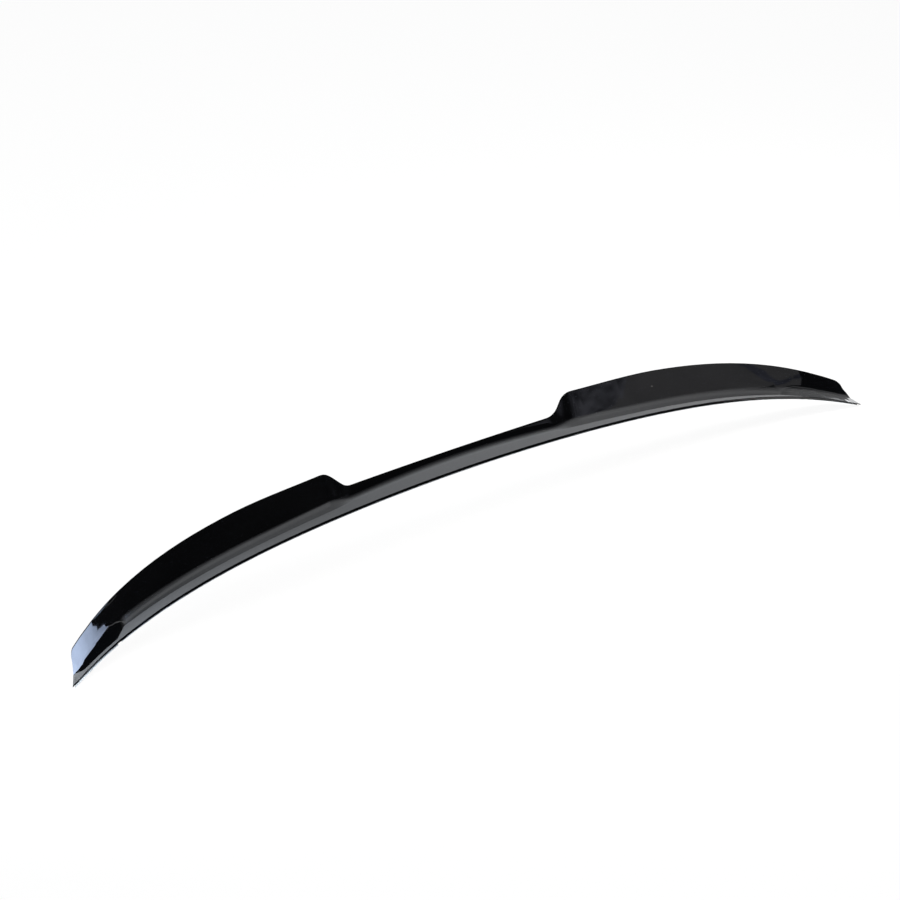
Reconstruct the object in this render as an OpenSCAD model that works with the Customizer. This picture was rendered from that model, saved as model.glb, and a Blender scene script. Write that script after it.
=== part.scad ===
// Rear spoiler for a car's boot lid: a gloss black moulded shell with a low
// middle lip between two raised wings, held on by strips of foam tape along
// its front edge and along the rear rim of each wing.
//
// Frame: x runs across the car, y to the rear, z up. The origin is at the
// middle of the front edge, on the lid. Every cross section is drawn as depth
// behind the front edge and height above the lid, and then laid on the lid.

/* [Front edge] */
// From the middle of the spoiler to a tip
half_span = 601; // [520:1:680]
// How far the tips reach forward of the middle
tip_sweep = 50; // [20:1:80]
// How far the tips drop below the middle
tip_drop = 71; // [30:1:100]
// Share of the sweep that bends evenly, the rest comes near the tips
even_sweep = 0.5; // [0.3:0.05:0.9]
// Share of the drop that bends evenly, the rest comes near the tips
even_drop = 0.62; // [0.3:0.01:0.9]
// Angle by which the lid falls to the rear under the wings
lid_fall = 14; // [0:1:18]
// Distance from the middle over which the lid comes to that angle
lid_fall_run = 300; // [200:10:450]

/* [Flange] */
// Thickness of the flange that lies on the lid
flange_t = 2.5; // [1.8:0.1:3.5]
// Thickness that is left of its front edge at the tips
tip_flange_t = 1.4; // [1.2:0.1:2.5]
// Radius along the top of the front edge
edge_r = 0.8; // [0.3:0.1:1]
// Depth of the flange in front of a wing
flange_d = 20; // [16:0.5:22]
// Depth of the flange in front of the middle lip
mid_flange_d = 23; // [18:0.5:25]
// Depth of the flange past the step near each tip
narrow_d = 6; // [4:0.5:12]
// Distance of the middle of that step from the tip
step_from_tip = 87; // [70:1:110]
// Length over which the flange narrows there
step_run = 21; // [12:1:40]
// Depth of the flange where it rises to the tip
tip_flange_d = 10.5; // [8:0.5:14]
// Rise of the flange at the tip
tip_flange_rise = 4.6; // [0:0.1:6]
// Length of the rise to the tip
tip_run = 22; // [10:1:40]

/* [Knee between flange and wing] */
// Depth of the sloping band at the foot of a wing
band_d = 5.5; // [3:0.5:7]
// Rise of that band
band_rise = 7.9; // [4:0.1:12]
// Depth of the band at the foot of the middle lip
mid_band_d = 4.5; // [3:0.5:7]
// Rise of that band
mid_band_rise = 0.8; // [0.5:0.1:3]
// Share of the band that is rounded into the wing's face
knee_round = 0.7; // [0.3:0.05:0.9]
// Length of the knee's rounding up a wing's face
knee_up = 7; // [3:0.5:12]
// Length of that rounding on the middle lip
lip_knee_up = 4.2; // [2:0.1:6]
// Least depth of the band, where the knee comes close to the flange
least_band_d = 0.6; // [0.4:0.1:1]
// Least rise of the band
least_band_rise = 0.3; // [0.2:0.1:0.5]
// How far the knee comes forward on its way to the tip
knee_forward = 14.2; // [8:0.1:16]
// How far the knee comes down on its way to the tip
knee_down = 2.6; // [0:0.1:4]

/* [Middle lip] */
// Depth of the lip's trailing edge behind the front edge
lip_d = 33.6; // [33:0.2:42]
// Rise of the lip's trailing edge above the front edge, in the middle
lip_rise = 11.5; // [9:0.5:15]
// Rise that the lip gains on its way to the notches
lip_gain = 3.6; // [0:0.2:6]

/* [Wings] */
// Distance of the middle of each notch from the middle of the spoiler
notch_at = 170.5; // [150:0.5:190]
// Length of the curve from the lip up to the wing
notch_run = 46; // [30:1:60]
// Share of that length over which the trailing edge steps back to the wing
notch_back = 0.5; // [0.4:0.05:1]
// Rise of a wing's trailing edge above the front edge, where it is highest
wing_rise = 41.9; // [30:0.1:56]
// Rise of the trailing edge at the wing's outer end, before the corner
wing_end_rise = 24; // [20:1:32]
// How late the wing's height falls off towards its outer end, as a power
fall_power = 3.5; // [2:0.5:6]
// How late its depth tapers towards that end, as a power
taper_power = 4; // [2:0.5:6]
// How far the trailing edge dips at the wing's inner end
shoulder_dip = 3.2; // [0:0.1:10]
// Length of that dip
shoulder_run = 130; // [60:5:160]
// Depth of the trailing edge at a wing's inner end
wing_d = 39.8; // [36:0.2:46]
// Depth of the trailing edge at a wing's outer end
wing_end_d = 21.5; // [20:0.5:26]
// How far the wing's upper end stops short of the tip
end_cut = 15; // [10:1:24]
// How far the end face leans in at its rear foot
end_lean = 7; // [0:0.5:10]
// Distance from the tip at which the cut begins
cut_run = 120; // [90:5:160]
// Radius of the wing's outer upper corner
corner_r = 5.5; // [4:0.5:12]
// Thickness of the trailing edge
top_t = 3.4; // [2.8:0.1:5]
// Radius of the trailing edge's two corners
top_r = 1.2; // [0.6:0.1:1.4]
// Hollow of the wing's face, measured at its middle
face_bow = 0.8; // [0:0.1:2]
// Hollow of the rear face, measured at its middle
rear_bow = 1; // [0:0.1:2]
// How far the rear face tucks in at its foot
foot_tuck = 1.5; // [0:0.1:3]

/* [Moulding] */
// Wall of the wings
wall = 2.4; // [1.8:0.1:2.8]
// Width of the rear rim under a wing
rim_w = 8; // [6:0.5:9]
// Width of the foot under the middle lip
mid_rim_w = 3; // [2.9:0.1:4]
// Thickness of the rear rim
rim_t = 2.2; // [1.6:0.1:3]
// Step up behind the middle lip's foot
mid_rim_t = 0.6; // [0.4:0.1:1]
// Least height of the hollow above the knee's inner corner
roof_step = 0.4; // [0.3:0.1:1]
// Narrowest part of the hollow, at its top
hollow_w = 2; // [1:0.1:3]
// Thickness of the webs across the hollow
web_t = 2; // [1.5:0.1:3]
// Webs under each wing
wing_webs = 7; // [3:1:9]
// Webs on each side of the middle, under the lip
lip_webs = 2; // [1:1:4]
// Distance from a notch's curve to the first web of its wing
web_in = 9; // [4:1:20]
// Distance from the tip to the last web
web_out = 45; // [30:1:60]
// Thickness of the wall that closes each end
end_wall = 2.4; // [1.8:0.1:3.5]

/* [Tape] */
// Thickness of the foam tape
tape_t = 1.1; // [0.6:0.1:2]
// Width of the tape along the front edge
tape_w = 9; // [5:0.5:9]
// Distance of the tape from the front edge
tape_in = 0.8; // [0.5:0.1:2]
// Distance of the rear tape from the rear edge
rear_tape_in = 0.6; // [0.3:0.1:1.5]
// Gap between the front tape and the hollow behind it
tape_clear = 0.8; // [0.5:0.1:1.5]
// Gap between the strips at each step
tape_gap = 6; // [3:1:12]
// Distance of the front tape's end from the tip
tape_end_in = 4; // [3:0.5:5]
// Distance of the rear tape's end from the tip
rear_end_in = 14; // [10:1:30]
// Thickness of the release liner
liner_t = 0.2; // [0.1:0.05:0.4]
// How far the liner shows in front of the edge in the middle
liner_out = 0.6; // [0:0.1:2]
// How far the liner shows in front of the edge at the tips
tip_liner_out = 4.5; // [0:0.1:6]

/* [Hidden] */

// Longest steps from section to section, where the shape turns and elsewhere
fine_pitch = 4;
plain_pitch = 27;
// Half the length round each step that takes the short ones
step_half = 0.6 * step_run;

// Underside of the moulding above the lid
seat_h = tape_t + liner_t;
wing_in = notch_at + notch_run / 2;
wing_out = half_span - end_cut;
step_at = half_span - step_from_tip;
cut_from = half_span - cut_run;

// General curves
function clamp(t) = min(max(t, 0), 1);
function ease(t) = let (c = clamp(t)) c * c * (3 - 2 * c);
function ease2(t) = let (c = clamp(t)) c * c * c * (c * (6 * c - 15) + 10);
function mix(a, b, t) = a + (b - a) * t;
function unit(v) = v / norm(v);
function at(p, q, t) = p + (q - p) * t;

// Front edge and lid, for a distance x from the middle
function arc(x, even) = let (t = x / half_span) even * pow(t, 2) + (1 - even) * pow(t, 5);
function edge_y(x) = -tip_sweep * arc(x, even_sweep);
function edge_z(x) = -tip_drop * arc(x, even_drop);
function lid_slope(x) = tan(lid_fall * ease(x / lid_fall_run));
function lid_z(x, y) = edge_z(x) - (y - edge_y(x)) * lid_slope(x);

// 0 on the middle lip, 1 on a wing
function wing(s) = ease2((s - notch_at) / notch_run + 0.5);
// 0 at a wing's inner end, 1 at its outer end
function along(x) = clamp((x - wing_in) / (wing_out - wing_in));
// 0 until the end cut begins, 1 at the tip
function endwise(s) = clamp((s - cut_from) / cut_run);

// Trailing edge: its distance from the middle, its depth and height there, and
// how far the outer corner is rounded away from that height
function top_x(s) = s - end_cut * ease(endwise(s));
function corner(x) = let (c = max(0, x - (wing_out - corner_r)))
    corner_r - sqrt(max(0, pow(corner_r, 2) - pow(c, 2)));
function lip_top(x) = lip_rise + lip_gain * pow(min(x / notch_at, 1.1), 2);
function wing_top(x) = wing_rise - (wing_rise - wing_end_rise) * pow(along(x), fall_power)
    - shoulder_dip * (1 - ease((x - wing_in) / shoulder_run));
function wing_depth(x) = wing_d - (wing_d - wing_end_d) * pow(along(x), taper_power);
function wing_back(x) = ease2((x - notch_at) / (notch_run * notch_back) + 0.5);
function top_d(x) = mix(lip_d, wing_depth(x), wing_back(x));
function top_h(x) = mix(lip_top(x), wing_top(x), wing(x)) + top_d(x) * lid_slope(x);

// Top of the flange's front edge
function edge_top(s) = seat_h + mix(flange_t, tip_flange_t, ease((s - step_at) / step_from_tip));
// Depth of the flange's rear crease and its rise
function past_step(s) = clamp((s - step_at) / step_run + 0.5);
function to_tip(s) = ease((s - half_span) / tip_run + 1);
function crease_d(s) = let (d = mix(mid_flange_d, flange_d, wing(s)))
    mix(mix(d, narrow_d, past_step(s)), tip_flange_d, to_tip(s));
function crease_h(s) = seat_h + flange_t + tip_flange_rise * to_tip(s);
// The knee: where the band turns up into the wing's face
function knee_d(s) = mix(mid_flange_d + mid_band_d, flange_d + band_d, wing(s))
    - knee_forward * pow(endwise(s), 2);
function knee_h(s) = seat_h + flange_t + mix(mid_band_rise, band_rise, wing(s))
    - knee_down * pow(endwise(s), 2);

// Corner k of a path pushed sideways by w, between its neighbours a and b
function pushed(a, k, b, w) =
    let (u = unit(k - a), v = unit(b - k), m = [u.y, -u.x], n = [v.y, -v.x])
    k + (m + n) * w / (1 + m * n);

// Cross section at s, as [depth, height] pairs. The outline is points 0 to 21
// and 27 to 29, the hollow runs from point 21 over 22 to 26 back to point 27.
function section(s) =
    let (
        tx = top_x(s),
        t0 = [edge_y(tx) + top_d(tx) - edge_y(s), top_h(tx)],
        c = [crease_d(s), crease_h(s)],
        k = [max(knee_d(s), c.x + least_band_d), max(knee_h(s), c.y + least_band_rise)],
        top = edge_top(s),
        drop = corner(tx),
        t = at(t0, k, drop / (t0.y - k.y)),
        face = unit(t - k),
        q0 = at(k, c, knee_round),
        q1 = k + face * mix(lip_knee_up, knee_up, wing(s)),
        out = [face.y, -face.x],
        foot = t0.x + top_t - foot_tuck,
        rear_foot = [foot, seat_h],
        rear_top0 = [t0.x + top_t, t0.y - top_r],
        rear_top = at(rear_top0, rear_foot, drop / (rear_top0.y - seat_h)),
        rim = mix(mid_rim_w, rim_w, wing(s)),
        rim_h = seat_h + mix(mid_rim_t, rim_t, wing(s)),
        ki = pushed(c, k, t, wall),
        lean_in = (t0.x - k.x) / (t0.y - k.y),
        lean_back = foot_tuck / (rear_top0.y - seat_h),
        shut = (foot - wall - rear_bow - ki.x + ki.y * lean_in - seat_h * lean_back - hollow_w)
            / (lean_in - lean_back),
        roof = max(shut, ki.y + roof_step),
        ir = [foot - wall - rear_bow + (roof - seat_h) * lean_back, roof]
    )
    concat(
        [[0, seat_h], [0, top - edge_r], [edge_r * 0.3, top - edge_r * 0.3], [edge_r, top], c],
        [for (i = [0:4]) at(at(q0, k, i / 4), at(k, q1, i / 4), i / 4)],
        [at(q1, t, 0.5) + out * face_bow],
        [t - [0, top_r], t + [0.3, -0.3] * top_r, t + [top_r, 0]],
        [rear_top + [-top_r, top_r], rear_top + [-0.3, 0.7] * top_r, rear_top],
        [for (i = [1:2]) at(rear_top, rear_foot, i / 3) - [rear_bow * 4 * (i / 3) * (1 - i / 3), 0]],
        [rear_foot, [foot - rear_tape_in, seat_h], [foot - rim, seat_h]],
        [[foot - rim, rim_h], [foot - wall, rim_h]],
        [ir, ir - [hollow_w, 0], ki],
        [[max(pushed([0, c.y], c, k, wall).x, tape_in + tape_w + tape_clear), seat_h],
            [tape_in + tape_w, seat_h], [tape_in, seat_h]]
    );

// Lays a [depth, height] pair of the section at s on the lid. Near the tips the
// sections turn from straight across to the slanted, leaning face of the end.
function slant(s, p) =
    let (
        tx = top_x(s),
        t = p.x / (edge_y(tx) + top_d(tx) - edge_y(s))
    )
    t * (s - tx + end_lean * pow(endwise(s), 3) * (1 - p.y / top_h(tx)));
function laid(s, p) =
    let (a = abs(s), x = a - slant(a, p), y = edge_y(a) + p.x)
    [s < 0 ? -x : x, y, lid_z(x, y) + p.y];

// Distances of the webs from the middle
web_pitch = (half_span - web_out - wing_in - web_in) / (wing_webs - 1);
webs = concat(
    [for (i = [1:lip_webs]) (i - 0.4) * (notch_at - notch_run / 2) / lip_webs],
    [for (i = [0:wing_webs - 1]) wing_in + web_in + i * web_pitch]
);

// Where the strips of tape begin and end
front_split = step_at + step_run / 2;
middle_to = front_split - tape_gap / 2;
side_from = front_split + tape_gap / 2;
side_to = half_span - tape_end_in;
rear_from = wing_in;
rear_to = half_span - rear_end_in;

// Places of the sections along one half: at the webs, at the ends of the tapes and
// of the zones where the shape turns, and at short steps inside those zones
function sorted(v) = len(v) < 2 ? v : let (m = v[0])
    concat(sorted([for (x = v) if (x < m) x]), [m], sorted([for (x = v) if (x > m) x]));
function in_zone(x) = abs(x - notch_at) < notch_run / 2 || abs(x - step_at) < step_half
    || x > half_span - tip_run;
inner_end = half_span - end_wall;
corner_from = half_span - corner_r;
stops = sorted(concat(
    [0, corner_from, half_span - tip_run, middle_to, side_from, rear_from, rear_to],
    [for (w = webs) each [w - web_t / 2, w + web_t / 2]],
    [for (k = [-1, 1]) each [notch_at + notch_run * k / 2, step_at + step_half * k]]
));
function bay(a, b) = let (n = ceil((b - a - 0.01) / (in_zone((a + b) / 2) ? fine_pitch : plain_pitch)))
    [for (i = [0:n - 1]) mix(a, b, i / n)];
half_stations = concat(
    [for (i = [0:len(stops) - 2]) each bay(stops[i], stops[i + 1])],
    sorted(concat([side_to, inner_end], [for (a = [0:15:90]) half_span - corner_r * (1 - sin(a))]))
);
stations = concat(
    [for (i = [len(half_stations) - 1:-1:1]) -half_stations[i]],
    half_stations
);
function solid_at(s) = abs(s) > inner_end
    || len([for (w = webs) if (abs(abs(s) - w) < web_t / 2) w]) > 0;

// Two triangles between points i and j of ring a and of the next ring, m points
// a ring, split along one diagonal or the other
function quad(a, m, i, j, flip) = let (b = a + 1) flip
    ? [[a * m + i, a * m + j, b * m + i], [a * m + j, b * m + j, b * m + i]]
    : [[a * m + i, a * m + j, b * m + j], [a * m + i, b * m + j, b * m + i]];
function turned(faces) = [for (f = faces) [f[0], f[2], f[1]]];
function shifted(faces, d) = [for (f = faces) [for (v = f) v + d]];

// Faces across the section and across the hollow, as triangles of its points
function ladder(pairs) = [for (i = [0:len(pairs) - 2])
    let (p = pairs[i], q = pairs[i + 1])
    each concat(
        p[0] == q[0] ? [] : [[p[0], q[0], q[1]]],
        p[1] == q[1] ? [] : [[p[0], q[1], p[1]]]
    )];
across = ladder([[0, 29], [1, 29], [2, 29], [3, 29], [3, 28], [4, 28], [4, 27], [5, 27], [6, 27],
    [7, 27], [7, 21], [8, 21], [9, 21], [9, 20], [9, 19], [9, 18], [10, 18], [10, 17],
    [11, 17], [11, 16], [12, 16], [12, 15], [13, 15], [13, 14]]);
over_hollow = ladder([[27, 21], [27, 22], [26, 22], [26, 23], [25, 23], [25, 24]]);

ring_size = len(section(0));
outline = concat([for (i = [0:20]) [i, i + 1]], [[27, 28], [28, 29], [29, 0]]);
hollow = [for (i = [21:26]) [i, i + 1]];

module spoiler() {
    n = len(stations);
    middles = [for (a = [0:n - 2]) (stations[a] + stations[a + 1]) / 2];
    color([0.03, 0.03, 0.035])
    polyhedron(
        points = [for (s = stations) each [for (p = section(abs(s))) laid(s, p)]],
        faces = concat(
            [for (a = [0:n - 2]) each [for (e = outline)
                each quad(a, ring_size, e[0], e[1], middles[a] < 0)]],
            [for (a = [0:n - 2]) each solid_at(middles[a])
                ? quad(a, ring_size, 21, 27, middles[a] < 0)
                : [for (e = hollow) each quad(a, ring_size, e[0], e[1], middles[a] < 0)]],
            [for (a = [1:n - 2]) let (before = solid_at(middles[a - 1]), after = solid_at(middles[a]))
                if (before != after)
                    each shifted(before ? over_hollow : turned(over_hollow), a * ring_size)],
            turned(across),
            shifted(across, (n - 1) * ring_size)
        )
    );
}

// A strip that follows the spoiler from s1 to s2. Its section is drawn by
// points of the moulding's section, so it seats on the moulding's own facets.
function strip_top(s, kind) = let (p = section(abs(s)))
    kind == "front" ? [p[29], p[28]] : [p[21], p[20]];
function strip_ring(s, kind, h1, h0, out) =
    let (p = strip_top(s, kind), front = [p[0].x, h1], rear = [p[1].x, h1])
    [front, rear, [rear.x, h0], [front.x, h0], [front.x - out, h0], [front.x - out, h1]];

module strip(s1, s2, kind, h1, h0, out) {
    on = [for (s = stations) if (s > s1 - 0.01 && s < s2 + 0.01) s];
    n = len(on);
    m = out[0] + out[1] > 0 ? 6 : 4;
    end = m == 6 ? [[0, 1, 2], [0, 2, 3], [0, 3, 4], [0, 4, 5]] : [[0, 1, 2], [0, 2, 3]];
    polyhedron(
        points = [for (s = on) each let (r = strip_ring(s, kind, h1, h0,
            tape_in + mix(out[0], out[1], clamp((abs(s) - step_at) / step_from_tip))))
            [for (i = [0:m - 1]) laid(s, r[i])]],
        faces = concat(
            [for (a = [0:n - 2]) each [for (i = [0:m - 1])
                each quad(a, m, i, (i + 1) % m, (on[a] + on[a + 1] < 0) != (i == 0))]],
            turned(end),
            shifted(end, (n - 1) * m)
        )
    );
}

module foam(s1, s2, kind) {
    color([0.06, 0.06, 0.065]) strip(s1, s2, kind, seat_h, liner_t, [0, 0]);
}
module liner(s1, s2, kind, out) {
    color([0.88, 0.92, 0.95]) strip(s1, s2, kind, liner_t, 0, out);
}

module front_tape_middle() {
    foam(-middle_to, middle_to, "front");
}
module front_tape_left() {
    foam(-side_to, -side_from, "front");
}
module front_tape_right() {
    foam(side_from, side_to, "front");
}
module rear_tape_left() {
    foam(-rear_to, -rear_from, "rear");
}
module rear_tape_right() {
    foam(rear_from, rear_to, "rear");
}
module front_liner_middle() {
    liner(-middle_to, middle_to, "front", [liner_out, liner_out]);
}
module front_liner_left() {
    liner(-side_to, -side_from, "front", [liner_out, tip_liner_out]);
}
module front_liner_right() {
    liner(side_from, side_to, "front", [liner_out, tip_liner_out]);
}
module rear_liner_left() {
    liner(-rear_to, -rear_from, "rear", [0, 0]);
}
module rear_liner_right() {
    liner(rear_from, rear_to, "rear", [0, 0]);
}

spoiler();
front_tape_middle();
front_tape_left();
front_tape_right();
rear_tape_left();
rear_tape_right();
front_liner_middle();
front_liner_left();
front_liner_right();
rear_liner_left();
rear_liner_right();
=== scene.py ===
from math import pi, radians

import bmesh
import bpy
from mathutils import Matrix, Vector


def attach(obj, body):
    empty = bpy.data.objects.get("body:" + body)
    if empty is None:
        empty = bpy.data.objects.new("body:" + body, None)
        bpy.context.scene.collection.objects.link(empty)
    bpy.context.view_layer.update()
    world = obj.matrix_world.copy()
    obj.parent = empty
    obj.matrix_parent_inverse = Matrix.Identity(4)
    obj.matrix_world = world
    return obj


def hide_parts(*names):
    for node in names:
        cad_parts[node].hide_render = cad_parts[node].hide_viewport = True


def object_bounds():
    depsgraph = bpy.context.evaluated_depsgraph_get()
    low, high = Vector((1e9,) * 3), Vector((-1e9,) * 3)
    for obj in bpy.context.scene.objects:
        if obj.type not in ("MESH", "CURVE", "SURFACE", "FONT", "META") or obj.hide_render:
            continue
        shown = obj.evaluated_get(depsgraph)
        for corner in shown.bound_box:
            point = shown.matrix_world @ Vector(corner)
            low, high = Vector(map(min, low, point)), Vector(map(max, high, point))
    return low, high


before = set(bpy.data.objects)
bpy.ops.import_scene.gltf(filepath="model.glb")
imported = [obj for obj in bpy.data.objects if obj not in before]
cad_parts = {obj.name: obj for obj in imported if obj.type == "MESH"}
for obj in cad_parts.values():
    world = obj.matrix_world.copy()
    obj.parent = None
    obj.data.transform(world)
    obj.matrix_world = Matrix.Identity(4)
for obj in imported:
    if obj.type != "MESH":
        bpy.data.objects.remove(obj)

cad_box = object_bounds()


# The moulded shell: flange, knee, middle lip and both wings are one injection moulding
# in black ABS, hollow underneath and sprayed in gloss black. It is the CAD shell with
# its facets merged and the crease behind the flange given its small round.
crease_from = 0.15
crease_bend = radians(4)
crease_fillet = 0.0011
sharp_from = radians(48)
flat_quad = radians(14)
merge_distance = 2e-6
off_middle = 1e-5
depth_digits = 5

# Places round a cross section, counted back from the top of the front edge
elsewhere = -1
flange_place = 2
crease_place = 3
last_place = 9

# How much of the mould's fine texture each place keeps, from 0 for full gloss to 1 for
# the flange: it fades over the lip's soft knee, and ends at the top of the wing's band
lip_texture = {3: 1.0, 4: 0.86, 5: 0.62, 6: 0.36, 7: 0.15}
band_texture = {3: 1.0, 4: 1.0, 5: 1.0, 6: 0.85}
band_share = 0.55
wing_rise = (0.150, 0.182)

# Where it thins out along the part. These values were fitted to the tones in the photo,
# so the left and the right differ, though the real texture may well be even. Apart from
# the full gloss past the step, these changes are painted shade: a darker flange in the
# middle, and a darker band at the left end, along the left wing and towards the right end
middle_x = -0.04
middle_fade = (0.12, 0.32)
middle_painted_shade = 0.14
step_x = 0.514
step_fade = 0.02
step_loss = 0.75
left_band_shade_ends = (-0.506, -0.499)
band_full_from = -0.30
left_painted_shade = 0.5
right_fade = (0.12, 0.48)
right_painted_shade = 0.45


def cross_sections(b):
    """The corners of the mesh in sets, one for each cross section from the middle out."""
    found = {vert for vert in b.verts if abs(vert.co.x) < off_middle}
    sets = [found]
    for side in (-1, 1):
        last = sets[0]
        while last:
            last = {
                edge.other_vert(vert) for vert in last for edge in vert.link_edges
                if edge.other_vert(vert).co.x * side > off_middle
            } - found
            found = found | last
            sets.append(last)
    return [one for one in sets if one]


def from_front_edge(section, count):
    """The first corners of a cross section, from the top of the front edge back."""
    row = [min(section, key=lambda vert: (round(vert.co.y, depth_digits), -vert.co.z))]
    while len(row) < count:
        near = [edge.other_vert(row[-1]) for edge in row[-1].link_edges]
        near = [vert for vert in near if vert in section and vert not in row]
        if not near:
            break
        row.append(max(near, key=lambda vert: vert.co.z))
    return row


def is_crease(edge, places):
    """True for the hollow line behind the flange, where the band turns up."""
    first, last = edge.verts
    on_line = places[first] == places[last] == crease_place
    on_wing = abs(first.co.x + last.co.x) > 2 * crease_from
    return on_line and on_wing and edge.calc_face_angle(0) > crease_bend


def smooth_step(a, b, x):
    """0 up to a and 1 from b on, with a smooth rise between them."""
    t = min(max((x - a) / (b - a), 0), 1)
    return t * t * (3 - 2 * t)


def texture_and_shade_at(strip, place, x):
    """Share of texture on a strip of facets at one of its two lines of corners, lowered in
    places along the part as painted shade.
    """
    if strip < flange_place:
        return 0.0
    if strip == flange_place:
        # Painted shade: the flange is made darker in the middle of the part
        loss = middle_painted_shade * (1 - smooth_step(*middle_fade, abs(x - middle_x)))
        return 1.0 - loss - step_loss * smooth_step(step_x, step_x + step_fade, x)
    # Painted shade: the band is made dark at the left end, darker along the left wing and
    # darker towards the right end
    band = band_share * smooth_step(*left_band_shade_ends, x)
    band *= left_painted_shade + (1 - left_painted_shade) * smooth_step(left_band_shade_ends[1], band_full_from, x)
    band *= 1 - right_painted_shade * smooth_step(*right_fade, x)
    wing = smooth_step(*wing_rise, abs(x))
    return lip_texture.get(place, 0.0) * (1 - wing) + band_texture.get(place, 0.0) * band * wing


shell_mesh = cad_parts["spoiler"].data.copy()
shell_mesh.name = "moulded_shell"
shell_mesh.materials.clear()
b = bmesh.new()
b.from_mesh(shell_mesh)
bmesh.ops.remove_doubles(b, verts=b.verts, dist=merge_distance)
places = {vert: elsewhere for vert in b.verts}
for section in cross_sections(b):
    for i, vert in enumerate(from_front_edge(section, last_place + 1)):
        places[vert] = i
# This attribute carries the mould's texture and, along the part, painted shade
texture_and_shade = b.loops.layers.float.new("texture_and_shade")
strips = {}
for face in b.faces:
    around = sorted({places[vert] for vert in face.verts})
    is_strip = around[0] != elsewhere and around[-1] - around[0] == 1
    strip = around[0] if is_strip else elsewhere
    strips.setdefault(strip, []).append(face)
    for loop in face.loops:
        loop[texture_and_shade] = texture_and_shade_at(strip, places[loop.vert], loop.vert.co.x)
creases = [edge for edge in b.edges if is_crease(edge, places)]
for faces in strips.values():
    bmesh.ops.join_triangles(
        b, faces=faces, angle_face_threshold=flat_quad, angle_shape_threshold=pi
    )
b.normal_update()
bmesh.ops.bevel(
    b, geom=creases, offset=crease_fillet, offset_type="OFFSET", segments=3, profile=0.5,
    affect="EDGES", clamp_overlap=True, material=-1,
)
b.normal_update()
for face in b.faces:
    face.smooth = True
for edge in b.edges:
    edge.smooth = edge.calc_face_angle(0) < sharp_from
b.to_mesh(shell_mesh)
b.free()
shell = bpy.data.objects.new("moulded_shell", shell_mesh)
bpy.context.collection.objects.link(shell)
even = shell.modifiers.new("even_normals", "WEIGHTED_NORMAL")
even.mode = "FACE_AREA"
even.weight = 50
even.keep_sharp = True


def node_at(tree, kind, at, **values):
    """Adds a node to a tree and sets its properties."""
    node = tree.nodes.new(kind)
    node.location = at
    for name, value in values.items():
        setattr(node, name, value)
    return node


def new_group(name, inputs, outputs):
    """Starts a shader node group: a vector, float inputs (name: value), float outputs."""
    tree = bpy.data.node_groups.new(name, "ShaderNodeTree")
    tree.interface.new_socket("Vector", in_out="INPUT", socket_type="NodeSocketVector")
    for title, value in inputs.items():
        socket = tree.interface.new_socket(title, in_out="INPUT", socket_type="NodeSocketFloat")
        socket.default_value = value
    for title in outputs:
        tree.interface.new_socket(title, in_out="OUTPUT", socket_type="NodeSocketFloat")
    return tree, tree.nodes.new("NodeGroupInput"), tree.nodes.new("NodeGroupOutput")


# Dust that has settled on the finish: a few pale specks, each a small round dot in its
# own cell of a Voronoi pattern, most cells empty
dot_radius = 0.028
dust, dust_in, dust_out = new_group("settled_dust", {"Cells": 60.0, "Share": 0.1}, ["Mask"])
cells = node_at(dust, "ShaderNodeTexVoronoi", (-400, 0), feature="F1")
chance = node_at(dust, "ShaderNodeSeparateColor", (-200, -160))
rare = node_at(dust, "ShaderNodeMath", (0, -160), operation="LESS_THAN")
dot = node_at(dust, "ShaderNodeMath", (-200, 0), operation="LESS_THAN")
dot.inputs[1].default_value = dot_radius
speck = node_at(dust, "ShaderNodeMath", (200, 0), operation="MULTIPLY")
dust.links.new(dust_in.outputs["Vector"], cells.inputs["Vector"])
dust.links.new(dust_in.outputs["Cells"], cells.inputs["Scale"])
dust.links.new(cells.outputs["Color"], chance.inputs["Color"])
dust.links.new(chance.outputs["Red"], rare.inputs[0])
dust.links.new(dust_in.outputs["Share"], rare.inputs[1])
dust.links.new(cells.outputs["Distance"], dot.inputs[0])
dust.links.new(dot.outputs["Value"], speck.inputs[0])
dust.links.new(rare.outputs["Value"], speck.inputs[1])
dust.links.new(speck.outputs["Value"], dust_out.inputs["Mask"])

# Mottle: a soft cloudy change between two values, for sheen, haze and foam. The middle
# range of the noise is spread over the whole way from the low value to the high one
cloud_detail = 4.0
cloud_range = (0.3, 0.7)
mottle, mottle_in, mottle_out = new_group(
    "mottle", {"Scale": 20.0, "Low": 0.0, "High": 1.0}, ["Value"]
)
cloud = node_at(mottle, "ShaderNodeTexNoise", (-200, 0))
cloud.inputs["Detail"].default_value = cloud_detail
spread = node_at(mottle, "ShaderNodeMapRange", (0, 0))
spread.inputs["From Min"].default_value = cloud_range[0]
spread.inputs["From Max"].default_value = cloud_range[1]
mottle.links.new(mottle_in.outputs["Vector"], cloud.inputs["Vector"])
mottle.links.new(mottle_in.outputs["Scale"], cloud.inputs["Scale"])
mottle.links.new(cloud.outputs["Fac"], spread.inputs["Value"])
mottle.links.new(mottle_in.outputs["Low"], spread.inputs["To Min"])
mottle.links.new(mottle_in.outputs["High"], spread.inputs["To Max"])
mottle.links.new(spread.outputs["Result"], mottle_out.inputs["Value"])

# The paint's colours: full gloss, the textured flange from dark to light, and the dust
deep_black = (0.0009, 0.0010, 0.0013, 1)
flange_dark = (0.086, 0.088, 0.093, 1)
flange_light = (0.101, 0.104, 0.109, 1)
dust_tint = (0.42, 0.41, 0.40, 1)
flange_roughness = 0.55


def placed(tree, group, at, **values):
    """Places a node group in a material's tree and sets its inputs."""
    node = tree.nodes.new("ShaderNodeGroup")
    node.node_tree = group
    node.location = at
    for title, value in values.items():
        node.inputs[title].default_value = value
    return node


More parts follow.
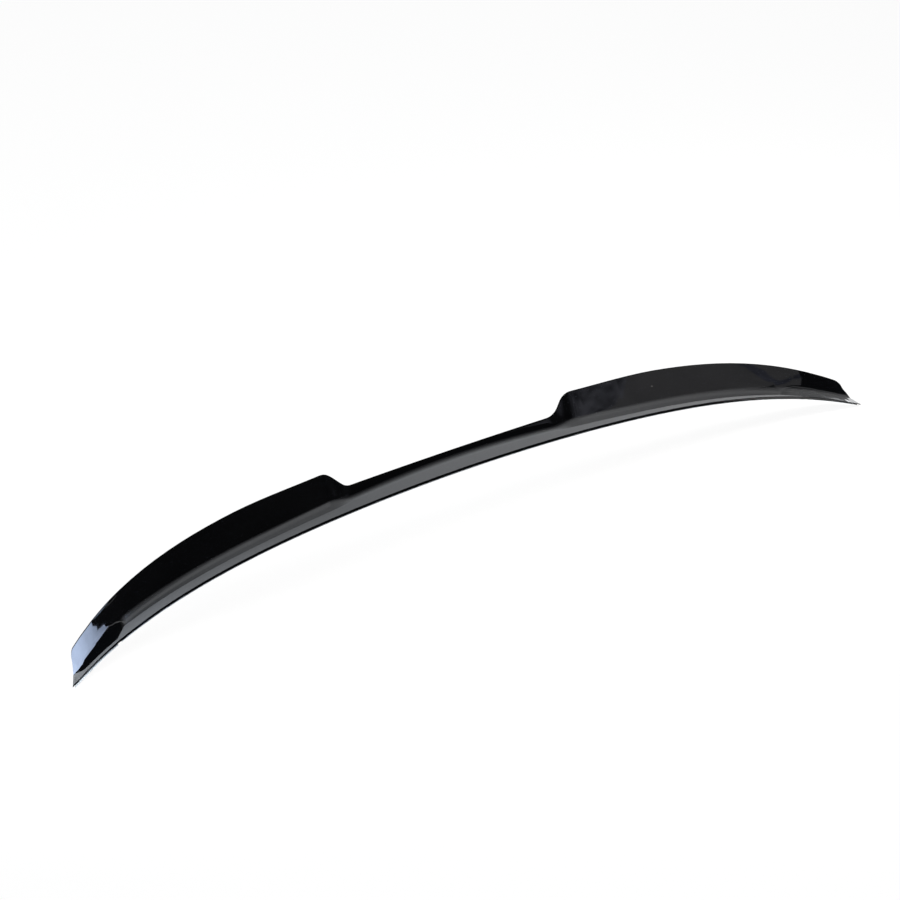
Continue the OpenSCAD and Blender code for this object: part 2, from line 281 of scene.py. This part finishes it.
def new_material(name):
    """Starts a material: returns it, its tree, its shader and its Object coordinates."""
    material = bpy.data.materials.new(name)
    material.use_nodes = True
    tree = material.node_tree
    where = node_at(tree, "ShaderNodeTexCoord", (-1200, 0))
    return material, tree, tree.nodes["Principled BSDF"], where.outputs["Object"]


def gloss_black():
    """Sprayed gloss black with orange peel, faint haze and dust, and a flange with the mould's
    texture, its share lowered in places as painted shade.
    """
    material, tree, skin, spot = new_material("gloss_black")
    link = tree.links.new
    skin.inputs["Specular IOR Level"].default_value = 0.12
    skin.inputs["Coat Roughness"].default_value = 0.035
    # The flange's share of texture, which along the part also holds painted shade
    texture_shade_zone = node_at(tree, "ShaderNodeAttribute", (-1200, -500), attribute_name="texture_and_shade")
    grain = placed(tree, mottle, (-900, 420), Scale=650.0, Low=0.0, High=1.0)
    flange_tint = node_at(tree, "ShaderNodeMix", (-600, 420), data_type="RGBA")
    flange_tint.inputs["A"].default_value = flange_dark
    flange_tint.inputs["B"].default_value = flange_light
    base = node_at(tree, "ShaderNodeMix", (-400, 300), data_type="RGBA")
    base.inputs["A"].default_value = deep_black
    tint = node_at(tree, "ShaderNodeMix", (-200, 200), data_type="RGBA")
    tint.inputs["B"].default_value = dust_tint
    specks = placed(tree, dust, (-600, 200), Cells=80.0, Share=0.035)
    haze = placed(tree, mottle, (-600, -60), Scale=14.0, Low=0.03, High=0.07)
    dull = node_at(tree, "ShaderNodeMix", (-400, -60), data_type="FLOAT")
    dull.inputs["B"].default_value = flange_roughness
    clear = node_at(tree, "ShaderNodeMapRange", (-400, -200))
    clear.inputs["To Min"].default_value = 1.0
    clear.inputs["To Max"].default_value = 0.0
    peel = placed(tree, mottle, (-900, -320), Scale=420.0, Low=0.0, High=0.025)
    relief = node_at(tree, "ShaderNodeMix", (-500, -320), data_type="FLOAT")
    bump = node_at(tree, "ShaderNodeBump", (-300, -320))
    bump.inputs["Strength"].default_value = 0.5
    bump.inputs["Distance"].default_value = 0.00012
    for group in (specks, haze, peel, grain):
        link(spot, group.inputs["Vector"])
    link(grain.outputs["Value"], flange_tint.inputs["Factor"])
    link(texture_shade_zone.outputs["Fac"], base.inputs["Factor"])
    link(flange_tint.outputs["Result"], base.inputs["B"])
    link(base.outputs["Result"], tint.inputs["A"])
    link(specks.outputs["Mask"], tint.inputs["Factor"])
    link(tint.outputs["Result"], skin.inputs["Base Color"])
    link(texture_shade_zone.outputs["Fac"], dull.inputs["Factor"])
    link(haze.outputs["Value"], dull.inputs["A"])
    link(dull.outputs["Result"], skin.inputs["Roughness"])
    link(texture_shade_zone.outputs["Fac"], clear.inputs["Value"])
    link(clear.outputs["Result"], skin.inputs["Coat Weight"])
    link(texture_shade_zone.outputs["Fac"], relief.inputs["Factor"])
    link(peel.outputs["Value"], relief.inputs["A"])
    link(grain.outputs["Value"], relief.inputs["B"])
    link(relief.outputs["Result"], bump.inputs["Height"])
    link(bump.outputs["Normal"], skin.inputs["Normal"])
    return material


shell_mesh.materials.append(gloss_black())
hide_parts("spoiler")
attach(shell, "root")


# Strips of double-sided foam tape on the flange's underside and on the wings' rear
# rims: black acrylic foam, cut from a roll and pressed on by hand.
tape_strips = [
    "front_tape_middle", "front_tape_left", "front_tape_right",
    "rear_tape_left", "rear_tape_right",
]
foam_dark = (0.018, 0.018, 0.020, 1)
foam_light = (0.045, 0.045, 0.048, 1)


def foam_tape():
    """Closed-cell acrylic foam: black, matt and finely grained."""
    material, tree, skin, spot = new_material("foam_tape")
    link = tree.links.new
    shade = node_at(tree, "ShaderNodeMix", (-300, 200), data_type="RGBA")
    shade.inputs["A"].default_value = foam_dark
    shade.inputs["B"].default_value = foam_light
    grain = placed(tree, mottle, (-600, 200), Scale=900.0, Low=0.0, High=1.0)
    dull = placed(tree, mottle, (-600, -60), Scale=200.0, Low=0.75, High=0.95)
    bump = node_at(tree, "ShaderNodeBump", (-300, -300))
    bump.inputs["Strength"].default_value = 0.5
    bump.inputs["Distance"].default_value = 0.00008
    for group in (grain, dull):
        link(spot, group.inputs["Vector"])
    link(grain.outputs["Value"], shade.inputs["Factor"])
    link(shade.outputs["Result"], skin.inputs["Base Color"])
    link(dull.outputs["Value"], skin.inputs["Roughness"])
    link(grain.outputs["Value"], bump.inputs["Height"])
    link(bump.outputs["Normal"], skin.inputs["Normal"])
    return material


def dress(strip_names, material):
    """Gives the CAD strips of one kind their material, and leaves their meshes alone."""
    for name in strip_names:
        strip_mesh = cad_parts[name].data
        strip_mesh.materials.clear()
        strip_mesh.materials.append(material)


dress(tape_strips, foam_tape())


# The release liners that still cover the tape: a thin glossy film, wider than the tape
# at the front, so that its edge shows under the flange and stands out at the tips.
liner_strips = [
    "front_liner_middle", "front_liner_left", "front_liner_right",
    "rear_liner_left", "rear_liner_right",
]
film_dark = (0.36, 0.39, 0.42, 1)
film_light = (0.50, 0.53, 0.56, 1)


def release_liner():
    """Pale siliconed film, slightly creased."""
    material, tree, skin, spot = new_material("release_liner")
    link = tree.links.new
    shade = node_at(tree, "ShaderNodeMix", (-300, 200), data_type="RGBA")
    shade.inputs["A"].default_value = film_dark
    shade.inputs["B"].default_value = film_light
    cloudy = placed(tree, mottle, (-600, 200), Scale=60.0, Low=0.0, High=1.0)
    gloss = placed(tree, mottle, (-600, -60), Scale=90.0, Low=0.22, High=0.38)
    crease = placed(tree, mottle, (-600, -320), Scale=130.0, Low=0.0, High=1.0)
    bump = node_at(tree, "ShaderNodeBump", (-300, -320))
    bump.inputs["Strength"].default_value = 0.4
    bump.inputs["Distance"].default_value = 0.0002
    for group in (cloudy, gloss, crease):
        link(spot, group.inputs["Vector"])
    link(cloudy.outputs["Value"], shade.inputs["Factor"])
    link(shade.outputs["Result"], skin.inputs["Base Color"])
    link(gloss.outputs["Value"], skin.inputs["Roughness"])
    link(crease.outputs["Value"], bump.inputs["Height"])
    link(bump.outputs["Normal"], skin.inputs["Normal"])
    return material


dress(liner_strips, release_liner())


# The floor: a white sheet at the level of the tips. The camera and reflections see it
# white, and it still takes a share of the lamps' light, so the soft shadow stays.
floor_half = 7.0
floor_drop = 0.0006
floor_z = cad_box[0][2] - floor_drop
floor_tint = (0.9, 0.9, 0.9, 1)
floor_glow_share = 0.93


def panel(name, corners):
    """A flat staged panel that faces the side from which its corners run anticlockwise."""
    mesh = bpy.data.meshes.new(name)
    b = bmesh.new()
    b.faces.new([b.verts.new(corner) for corner in corners])
    b.to_mesh(mesh)
    b.free()
    obj = bpy.data.objects.new(name, mesh)
    bpy.context.collection.objects.link(obj)
    return obj


def white_floor():
    """Mostly a plain white glow for the camera and reflections, and matt for the rest."""
    material = bpy.data.materials.new("white_floor")
    material.use_nodes = True
    tree = material.node_tree
    tree.nodes.clear()
    link = tree.links.new
    out = node_at(tree, "ShaderNodeOutputMaterial", (400, 0))
    mix = node_at(tree, "ShaderNodeMixShader", (200, 0))
    matt = node_at(tree, "ShaderNodeBsdfDiffuse", (0, -120))
    matt.inputs["Color"].default_value = floor_tint
    glow = node_at(tree, "ShaderNodeEmission", (0, 120))
    rays = node_at(tree, "ShaderNodeLightPath", (-600, 200))
    seen = node_at(tree, "ShaderNodeMath", (-400, 200), operation="MAXIMUM")
    any_ray = node_at(tree, "ShaderNodeMath", (-200, 200), operation="MAXIMUM")
    share = node_at(tree, "ShaderNodeMath", (0, 300), operation="MULTIPLY")
    share.inputs[1].default_value = floor_glow_share
    link(rays.outputs["Is Camera Ray"], seen.inputs[0])
    link(rays.outputs["Is Glossy Ray"], seen.inputs[1])
    link(seen.outputs["Value"], any_ray.inputs[0])
    link(rays.outputs["Is Transmission Ray"], any_ray.inputs[1])
    link(any_ray.outputs["Value"], share.inputs[0])
    link(share.outputs["Value"], mix.inputs["Fac"])
    link(matt.outputs["BSDF"], mix.inputs[1])
    link(glow.outputs["Emission"], mix.inputs[2])
    link(mix.outputs["Shader"], out.inputs["Surface"])
    return material


floor = panel("floor", [
    (-floor_half, -floor_half, floor_z), (floor_half, -floor_half, floor_z),
    (floor_half, floor_half, floor_z), (-floor_half, floor_half, floor_z),
])
floor.data.materials.append(white_floor())


# Cards round the object, as on a product table: gloss black shows only what stands
# around it. The camera and the floor don't see them, only the reflections do. Their
# places and levels were chosen for the photo's view.
cool_grey = (0.97, 0.98, 1.0)
blotch_grey = (0.92, 0.94, 1.1)
wing_grey = (0.97, 0.96, 1.0)
streak_grey = (0.84, 0.88, 1.15)
sky_blue = (0.60, 0.73, 1.0)


def set_levels(ramp, levels, low, high):
    """Sets a ramp's stops from (value, level) pairs, and returns the highest level."""
    top = max(level for _, level in levels)
    ends = {0: ramp.elements[0], len(levels) - 1: ramp.elements[-1]}
    for i, (value, level) in enumerate(levels):
        spot = (value - low) / (high - low)
        stop = ends[i] if i in ends else ramp.elements.new(spot)
        stop.position = spot
        stop.color = (level / top, level / top, level / top, 1)
    return top


def card(name, corners, colour, levels, cloud_size=9.0, uneven=0.0):
    """A glowing card that only reflections see, with levels of light from side to side."""
    obj = panel(name, corners)
    obj.visible_camera = False
    obj.visible_diffuse = False
    obj.visible_transmission = False
    obj.visible_volume_scatter = False
    obj.visible_shadow = False
    material = bpy.data.materials.new(name)
    material.use_nodes = True
    tree = material.node_tree
    tree.nodes.clear()
    link = tree.links.new
    out = node_at(tree, "ShaderNodeOutputMaterial", (600, 0))
    glow = node_at(tree, "ShaderNodeEmission", (400, 0))
    glow.inputs["Color"].default_value = (*colour, 1)
    where = node_at(tree, "ShaderNodeTexCoord", (-800, 0))
    parts = node_at(tree, "ShaderNodeSeparateXYZ", (-600, 100))
    across = node_at(tree, "ShaderNodeMapRange", (-400, 100))
    x0, x1 = levels[0][0], levels[-1][0]
    across.inputs["From Min"].default_value = x0
    across.inputs["From Max"].default_value = x1
    steps = node_at(tree, "ShaderNodeValToRGB", (-200, 100))
    top = set_levels(steps.color_ramp, levels, x0, x1)
    low, high = top * (1 - uneven), top * (1 + uneven)
    cloudy = placed(tree, mottle, (-200, -160), Scale=cloud_size, Low=low, High=high)
    strength = node_at(tree, "ShaderNodeMath", (200, 0), operation="MULTIPLY")
    link(where.outputs["Object"], parts.inputs["Vector"])
    link(where.outputs["Object"], cloudy.inputs["Vector"])
    link(parts.outputs["X"], across.inputs["Value"])
    link(across.outputs["Result"], steps.inputs["Fac"])
    link(steps.outputs["Color"], strength.inputs[0])
    link(cloudy.outputs["Value"], strength.inputs[1])
    link(strength.outputs["Value"], glow.inputs["Strength"])
    link(glow.outputs["Emission"], out.inputs["Surface"])
    obj.data.materials.append(material)


def cut_card(name, y, outline, colour, levels, **clouds):
    """A card that stands across the front of the part, cut to an outline of (x, z)."""
    card(name, [(x, y, z) for x, z in outline], colour, levels, **clouds)


def oblong_card(name, y, z0, z1, colour, levels, **clouds):
    """A card that stands across the front of the part, as wide as its levels reach."""
    x0, x1 = levels[0][0], levels[-1][0]
    cut_card(name, y, [(x0, z0), (x1, z0), (x1, z1), (x0, z1)], colour, levels, **clouds)


# The row of big cards in front: dark on the left, with the wing's clouds in the middle
# and grey on the right, and two strip lights above it for the line along the bands
row_y = -0.35
row_top = 0.20
strip_light_top = 0.30
blotches_from = 0.345
grey_from = 0.545
oblong_card(
    "dark_card", row_y, floor_z, row_top, cool_grey,
    [(-0.75, 0.006), (-0.12, 0.012), (0.06, 0.03), (blotches_from, 0.04)], uneven=0.35,
)
oblong_card(
    "blotched_card", row_y, floor_z, row_top, blotch_grey,
    [(blotches_from, 0.05), (0.37, 0.22), (0.43, 0.20), (0.48, 0.25), (grey_from, 0.40)],
    cloud_size=46.0, uneven=0.8,
)
oblong_card(
    "grey_card", row_y, floor_z, row_top, wing_grey, [(grey_from, 0.40), (0.80, 0.39)],
    cloud_size=30.0, uneven=0.10,
)
oblong_card(
    "left_strip_light", row_y, row_top, strip_light_top, cool_grey, [(-0.28, 0.8), (0.12, 1.0)],
)
oblong_card(
    "right_strip_light", row_y, row_top, strip_light_top, cool_grey,
    [(grey_from, 0.75), (0.90, 0.55)],
)

# The cards nearer to the part: the blue patch on the left end, the streak near the
# right end, the light that draws the right tip, the black right end, and the dark mat
blue_y = -0.08
blue_left = -0.560
blue_right = -0.4345
blue_top = 0.052
cut_card(
    "blue_card", blue_y,
    [
        (blue_left, -0.0340), (blue_right, -0.0215), (blue_right, 0.006),
        (-0.439, 0.012), (-0.450, blue_top), (blue_left, blue_top),
    ],
    sky_blue, [(blue_left, 20.0), (-0.515, 18.0), (-0.509, 5.2), (blue_right, 4.4)],
    cloud_size=60.0, uneven=0.1,
)
streak_y = -0.30
streak_left = 0.612
streak_right = 0.650
cut_card(
    "streak_card", streak_y,
    [
        (streak_left, 0.018), (0.631, 0.007), (streak_right, 0.013),
        (streak_right, 0.022), (0.632, 0.024), (streak_left, 0.033),
    ],
    streak_grey, [(streak_left, 0.22), (0.627, 0.04), (0.636, 0.08), (streak_right, 0.34)],
    cloud_size=70.0, uneven=0.35,
)
tip_light_front = (0.74, -0.12)
tip_light_back = (0.76, 0.12)
tip_light_top = 0.06
tip_light_level = 6.0
card(
    "end_light",
    [
        (*tip_light_front, 0.0), (*tip_light_back, 0.0),
        (*tip_light_back, tip_light_top), (*tip_light_front, tip_light_top),
    ],
    cool_grey, [(tip_light_front[0], tip_light_level), (tip_light_back[0], tip_light_level)],
)
black_level = 0.02
end_card_y = -0.15
end_card_top = 0.060
oblong_card(
    "end_card", end_card_y, floor_z, end_card_top, cool_grey,
    [(0.577, black_level), (0.74, black_level)],
)
mat_lift = 0.0003
mat_left = -0.62
mat_right = 0.49
mat_front = -0.34
mat_back = 0.02
mat_z = floor_z + mat_lift
card(
    "dark_mat",
    [
        (mat_left, mat_front, mat_z), (mat_right, mat_front, mat_z),
        (mat_right, mat_back, mat_z), (mat_left, mat_back, mat_z),
    ],
    cool_grey, [(mat_left, black_level), (mat_right, black_level)],
)


# The studio's light: a big soft lamp overhead, a smaller one at each end, and a world
# that lights the part evenly. The gloss sees that world bright on the left and a little
# behind, dim on the other sides, and dimmer still high up.
round_levels = [
    (-180, 0.05), (-165, 0.08), (-140, 0.60), (-100, 0.60), (-75, 0.10), (-40, 0.08),
    (110, 0.08), (120, 0.04), (180, 0.04),
]
height_levels = [(-1.0, 1.0), (0.57, 1.0), (0.85, 0.4), (1.0, 0.3)]
even_level = 0.45
camera_level = 1.0
cool_white = (0.94, 0.98, 1.0)
warm_white = (1.0, 0.97, 0.93)
tip_white = (0.95, 0.98, 1.0)


def softbox(name, place, turn, size, watts, colour):
    """A square area lamp that lights the part but doesn't show in its gloss."""
    data = bpy.data.lights.new(name, "AREA")
    data.size = size
    data.energy = watts
    data.color = colour
    obj = bpy.data.objects.new(name, data)
    obj.location = place
    obj.rotation_euler = turn
    obj.visible_glossy = False
    bpy.context.collection.objects.link(obj)


softbox(
    "overhead_softbox", (-0.3, 0.4, 1.9), (radians(-12), radians(-9), 0),
    size=2.0, watts=38, colour=cool_white,
)
softbox(
    "right_softbox", (1.0, -0.2, 0.7), (0, radians(45), 0),
    size=0.5, watts=19, colour=warm_white,
)
softbox(
    "left_softbox", (-0.68, -0.14, 0.13), (radians(25), radians(-25), 0),
    size=0.12, watts=0.8, colour=tip_white,
)


def studio_world():
    """White for the camera, even light for matt surfaces, and levels of light for gloss."""
    world = bpy.data.worlds.new("studio")
    world.use_nodes = True
    tree = world.node_tree
    tree.nodes.clear()
    link = tree.links.new
    out = node_at(tree, "ShaderNodeOutputWorld", (1400, 0))
    towards = node_at(tree, "ShaderNodeTexCoord", (-1200, 0))
    parts = node_at(tree, "ShaderNodeSeparateXYZ", (-1000, 0))
    forward = node_at(tree, "ShaderNodeMath", (-800, 100), operation="MULTIPLY")
    forward.inputs[1].default_value = -1
    azimuth = node_at(tree, "ShaderNodeMath", (-600, 100), operation="ARCTAN2")
    turn = node_at(tree, "ShaderNodeMapRange", (-400, 100))
    turn.inputs["From Min"].default_value = -pi
    turn.inputs["From Max"].default_value = pi
    round_ramp = node_at(tree, "ShaderNodeValToRGB", (-200, 100))
    top = set_levels(round_ramp.color_ramp, round_levels, -180, 180)
    height = node_at(tree, "ShaderNodeMapRange", (-400, -200))
    height.inputs["From Min"].default_value = -1
    height_ramp = node_at(tree, "ShaderNodeValToRGB", (-200, -200))
    set_levels(height_ramp.color_ramp, height_levels, -1, 1)
    both = node_at(tree, "ShaderNodeMath", (100, 0), operation="MULTIPLY")
    glossy = node_at(tree, "ShaderNodeMath", (300, 0), operation="MULTIPLY")
    glossy.inputs[1].default_value = top
    rays = node_at(tree, "ShaderNodeLightPath", (300, 400))
    seen = node_at(tree, "ShaderNodeMath", (500, 300), operation="MAXIMUM")
    for_gloss = node_at(tree, "ShaderNodeMix", (700, 100), data_type="FLOAT")
    for_gloss.inputs["A"].default_value = even_level
    for_camera = node_at(tree, "ShaderNodeMix", (900, 100), data_type="FLOAT")
    for_camera.inputs["B"].default_value = camera_level
    back = node_at(tree, "ShaderNodeBackground", (1150, 0))
    link(towards.outputs["Generated"], parts.inputs["Vector"])
    link(parts.outputs["Y"], forward.inputs[0])
    link(parts.outputs["X"], azimuth.inputs[0])
    link(forward.outputs["Value"], azimuth.inputs[1])
    link(azimuth.outputs["Value"], turn.inputs["Value"])
    link(turn.outputs["Result"], round_ramp.inputs["Fac"])
    link(parts.outputs["Z"], height.inputs["Value"])
    link(height.outputs["Result"], height_ramp.inputs["Fac"])
    link(round_ramp.outputs["Color"], both.inputs[0])
    link(height_ramp.outputs["Color"], both.inputs[1])
    link(both.outputs["Value"], glossy.inputs[0])
    link(rays.outputs["Is Glossy Ray"], for_gloss.inputs["Factor"])
    link(glossy.outputs["Value"], for_gloss.inputs["B"])
    link(rays.outputs["Is Camera Ray"], seen.inputs[0])
    link(rays.outputs["Is Transmission Ray"], seen.inputs[1])
    link(seen.outputs["Value"], for_camera.inputs["Factor"])
    link(for_gloss.outputs["Result"], for_camera.inputs["A"])
    link(for_camera.outputs["Result"], back.inputs["Strength"])
    link(back.outputs["Background"], out.inputs["Surface"])
    return world


bpy.context.scene.world = studio_world()
bpy.context.scene.view_settings.view_transform = "Standard"


# The camera stands in front and to the left of the part, well back with a long lens,
# and looks down on it by 25 degrees.
camera_place = (-2.7084, -3.3274, 2.0252)
camera_turn = radians(38.85)
camera_fall = radians(25)
camera_data = bpy.data.cameras.new("photo_camera")
camera_data.lens = 160
camera_data.sensor_width = 36
camera_data.clip_end = 100
camera = bpy.data.objects.new("photo_camera", camera_data)
camera.location = camera_place
camera.rotation_euler = (pi / 2 - camera_fall, 0, -camera_turn)
bpy.context.collection.objects.link(camera)
bpy.context.scene.camera = camera
